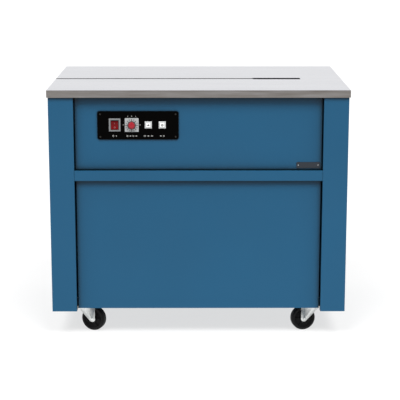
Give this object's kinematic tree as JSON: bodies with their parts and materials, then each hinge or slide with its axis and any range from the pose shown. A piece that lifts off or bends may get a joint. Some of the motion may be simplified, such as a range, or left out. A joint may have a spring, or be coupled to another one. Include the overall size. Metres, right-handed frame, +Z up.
{
  "type": "semi-automatic strapping machine",
  "caption": "Waist-high sheet-metal strapping machine on swivel casters, with a stainless slotted table, a control panel, a strap reel behind a door and a sealing head.",
  "frame": {"origin": "on the floor, below the middle of the table", "axes": "+X to the right along the table as seen from the controls, +Y to the back, +Z up"},
  "size_m": [0.9, 0.59, 0.76],
  "materials": {
    "blue_paint": "semi-gloss powder coat",
    "stainless": "brushed, satin",
    "zinc": "bright zinc plate",
    "steel": "machined",
    "grey_paint": "satin",
    "motor_paint": "satin enamel",
    "cast": "as cast",
    "black_plastic": "fine matte",
    "white_plastic": "satin",
    "light_grey_plastic": "satin",
    "red_plastic": "gloss",
    "strap_plastic": "embossed strap",
    "board_green": "solder resist",
    "tread": "hard rubber",
    "belt_rubber": "matte",
    "roller_rubber": "matte",
    "brass": "plain"
  },
  "bodies": {
    "cabinet": {"base_tray": "blue_paint", "button_housings": "white_plastic", "cable_gland": "black_plastic", "caster_bolts": "zinc", "caster_plates": "zinc", "control_board": "board_green", "control_box": "zinc", "control_plate": "black_plastic", "control_plate_screws": "steel", "cross_rails": "blue_paint", "door_catches": "black_plastic", "door_hinge_pins": "zinc", "drive_belt": "belt_rubber", "drive_motor": "motor_paint", "feed_bracket": "steel", "gearbox": "cast", "head_bed": "steel", "left_side_panel": "blue_paint", "length_timer": "light_grey_plastic", "mechanism_frame": "grey_paint", "rear_lower_panel": "blue_paint", "rear_upper_panel": "blue_paint", "reel_shaft": "zinc", "reel_stand": "grey_paint", "right_side_panel": "blue_paint", "strap_guide_channel": "stainless", "switch_housing": "light_grey_plastic", "table_top": "stainless", "top_frame": "grey_paint", "upper_front_panel": "blue_paint"},
    "door": {"front_door": "blue_paint"},
    "rocker": {"power_rocker": "red_plastic"},
    "knob": {"dial_knob": "red_plastic"},
    "feed_key": {"feed_button": "white_plastic"},
    "reverse_key": {"reverse_button": "white_plastic"},
    "reel": {"reel_core": "grey_paint", "reel_front_flange": "grey_paint", "strap_coil": "strap_plastic", "reel_nut": "black_plastic"},
    "brake": {"brake_lever": "zinc"},
    "strap_roller": {"strap_roller": "white_plastic"},
    "feed_roller": {"feed_roller": "steel"},
    "pinch_roller": {"pinch_roller": "roller_rubber"},
    "gearbox_pulley": {"gearbox_pulley": "cast"},
    "motor_pulley": {"motor_pulley": "cast"},
    "camshaft": {"camshaft": "steel"},
    "left_gripper": {"left_gripper": "steel"},
    "press_head": {"press_head": "steel", "cutter_blade": "steel"},
    "right_gripper": {"right_gripper": "steel"},
    "anvil": {"anvil_plate": "steel"},
    "heater": {"heater_carriage": "brass"},
    "front_left_fork": {"front_left_caster_fork": "zinc"},
    "front_left_wheel": {"front_left_wheel": "tread"},
    "front_right_fork": {"front_right_caster_fork": "zinc"},
    "front_right_wheel": {"front_right_wheel": "tread"},
    "rear_left_fork": {"rear_left_caster_fork": "zinc"},
    "rear_left_wheel": {"rear_left_wheel": "tread"},
    "rear_right_fork": {"rear_right_caster_fork": "zinc"},
    "rear_right_wheel": {"rear_right_wheel": "tread"}
  },
  "joints": [
    {"name": "door_hinge", "type": "hinge", "parent": "cabinet", "child": "door", "pos_m": [-0.364, -0.273, 0.285], "axis": [0, 0, -1], "range_deg": [0, 90]},
    {"name": "rocker_tilt", "type": "hinge", "parent": "cabinet", "child": "rocker", "pos_m": [-0.2492, -0.2786, 0.654], "axis": [-1, 0, 0], "range_deg": [0, 16]},
    {"name": "dial_turn", "type": "hinge", "parent": "cabinet", "child": "knob", "pos_m": [-0.1986, -0.288, 0.654], "axis": [0, 1, 0], "range_deg": [-135, 135]},
    {"name": "feed_press", "type": "slide", "parent": "cabinet", "child": "feed_key", "axis": [0, 1, 0], "range_m": [0, 0.0025], "stiffness_N_per_m": 300},
    {"name": "reverse_press", "type": "slide", "parent": "cabinet", "child": "reverse_key", "axis": [0, 1, 0], "range_m": [0, 0.0025], "stiffness_N_per_m": 300},
    {"name": "reel_spin", "type": "hinge", "parent": "cabinet", "child": "reel", "pos_m": [-0.19, -0.15, 0.3], "axis": [0, 1, 0], "continuous": true},
    {"name": "brake_swing", "type": "hinge", "parent": "cabinet", "child": "brake", "pos_m": [0.045, -0.075, 0.3], "axis": [0, 1, 0], "range_deg": [0, 12]},
    {"name": "strap_roller_spin", "type": "hinge", "parent": "brake", "child": "strap_roller", "pos_m": [0.073, -0.032, 0.45], "axis": [0, 1, 0], "continuous": true},
    {"name": "feed_roller_spin", "type": "hinge", "parent": "cabinet", "child": "feed_roller", "pos_m": [0.112, -0.032, 0.572], "axis": [0, 1, 0], "continuous": true},
    {"name": "pinch_roller_spin", "type": "hinge", "parent": "cabinet", "child": "pinch_roller", "pos_m": [0.112, -0.032, 0.6228], "axis": [0, 1, 0], "continuous": true},
    {"name": "gearbox_pulley_spin", "type": "hinge", "parent": "cabinet", "child": "gearbox_pulley", "pos_m": [0.386, 0.04, 0.664], "axis": [0, 1, 0], "continuous": true},
    {"name": "motor_pulley_spin", "type": "hinge", "parent": "cabinet", "child": "motor_pulley", "pos_m": [0.386, 0.04, 0.518], "axis": [0, 1, 0], "continuous": true},
    {"name": "camshaft_spin", "type": "hinge", "parent": "cabinet", "child": "camshaft", "pos_m": [0.235, -0.032, 0.64], "axis": [1, 0, 0], "continuous": true},
    {"name": "left_gripper_lift", "type": "slide", "parent": "cabinet", "child": "left_gripper", "axis": [0, 0, 1], "range_m": [0, 0.009]},
    {"name": "press_head_lift", "type": "slide", "parent": "cabinet", "child": "press_head", "axis": [0, 0, 1], "range_m": [0, 0.009]},
    {"name": "right_gripper_lift", "type": "slide", "parent": "cabinet", "child": "right_gripper", "axis": [0, 0, 1], "range_m": [0, 0.009]},
    {"name": "anvil_slide", "type": "slide", "parent": "cabinet", "child": "anvil", "axis": [0, 1, 0], "range_m": [0, 0.022]},
    {"name": "heater_slide", "type": "slide", "parent": "cabinet", "child": "heater", "axis": [0, -1, 0], "range_m": [0, 0.02]},
    {"name": "front_left_swivel", "type": "hinge", "parent": "cabinet", "child": "front_left_fork", "pos_m": [-0.3485, -0.217, 0.08], "axis": [0, 0, 1], "continuous": true},
    {"name": "front_left_roll", "type": "hinge", "parent": "front_left_fork", "child": "front_left_wheel", "pos_m": [-0.32454, -0.22572, 0.0375], "axis": [-0.342, -0.9397, 0], "continuous": true},
    {"name": "front_right_swivel", "type": "hinge", "parent": "cabinet", "child": "front_right_fork", "pos_m": [0.3485, -0.217, 0.08], "axis": [0, 0, 1], "continuous": true},
    {"name": "front_right_roll", "type": "hinge", "parent": "front_right_fork", "child": "front_right_wheel", "pos_m": [0.32356, -0.2223, 0.0375], "axis": [-0.2079, 0.9781, 0], "continuous": true},
    {"name": "rear_left_swivel", "type": "hinge", "parent": "cabinet", "child": "rear_left_fork", "pos_m": [-0.3485, 0.217, 0.08], "axis": [0, 0, 1], "continuous": true},
    {"name": "rear_left_roll", "type": "hinge", "parent": "rear_left_fork", "child": "rear_left_wheel", "pos_m": [-0.32599, 0.22897, 0.0375], "axis": [0.4695, -0.8829, 0], "continuous": true},
    {"name": "rear_right_swivel", "type": "hinge", "parent": "cabinet", "child": "rear_right_fork", "pos_m": [0.3485, 0.217, 0.08], "axis": [0, 0, 1], "continuous": true},
    {"name": "rear_right_roll", "type": "hinge", "parent": "rear_right_fork", "child": "rear_right_wheel", "pos_m": [0.32454, 0.22572, 0.0375], "axis": [0.342, 0.9397, 0], "continuous": true}
  ],
  "couplings": [
    {"joint": "motor_pulley_spin", "follows": "gearbox_pulley_spin", "ratio": 1.6},
    {"joint": "camshaft_spin", "follows": "gearbox_pulley_spin", "ratio": 0.05},
    {"joint": "pinch_roller_spin", "follows": "feed_roller_spin", "ratio": -1.5}
  ]
}
